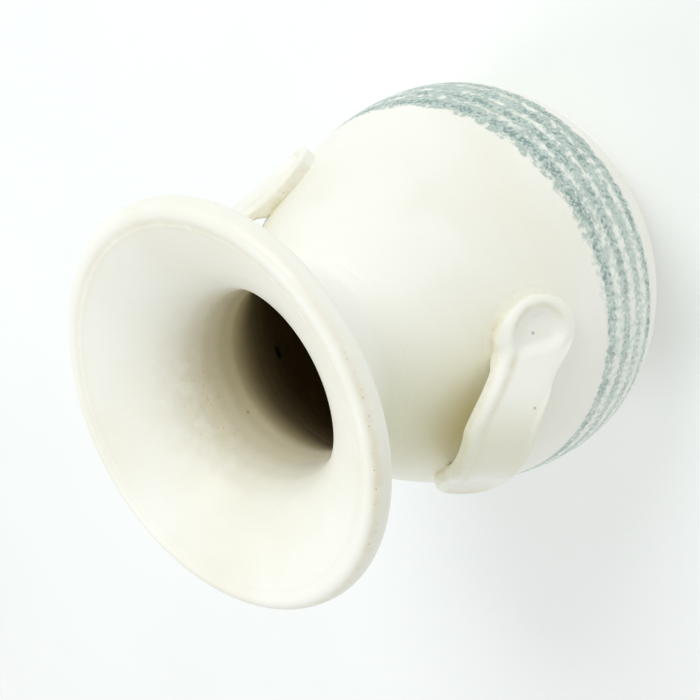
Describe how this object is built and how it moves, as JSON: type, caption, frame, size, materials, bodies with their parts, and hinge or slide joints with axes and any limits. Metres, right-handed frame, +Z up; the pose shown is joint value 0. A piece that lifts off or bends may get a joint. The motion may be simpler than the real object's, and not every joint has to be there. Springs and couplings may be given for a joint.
{
  "type": "ceramic vase",
  "caption": "Hand-thrown round-bellied vase with a narrow throat, a wide trumpet mouth, inlaid slip rows round the belly and thumb-pressed strap lugs on the shoulder.",
  "frame": {"origin": "centre of the foot ring, on the surface that the vase stands on", "axes": "+Z up along the throwing axis to the mouth, the two lugs lie on the X axis"},
  "size_m": [0.1588, 0.1588, 0.21],
  "materials": {
    "cream_glaze": "satin cream-white glaze over pale stoneware, warmer where it thins on edges",
    "blue_slip": "matte blue-grey slip inlaid in rouletted rows",
    "bare_clay": "unglazed pale stoneware joining clay"
  },
  "bodies": {
    "root": {"thrown_body": "cream_glaze", "neck_luting_ring": "bare_clay", "neck_and_rim": "cream_glaze", "slip_row_1": "blue_slip", "slip_row_2": "blue_slip", "slip_row_3": "blue_slip", "slip_row_4": "blue_slip", "left_lug": "cream_glaze", "left_lug_bed_a": "bare_clay", "left_lug_bed_b": "bare_clay", "right_lug": "cream_glaze", "right_lug_bed_a": "bare_clay", "right_lug_bed_b": "bare_clay"}
  },
  "joints": []
}
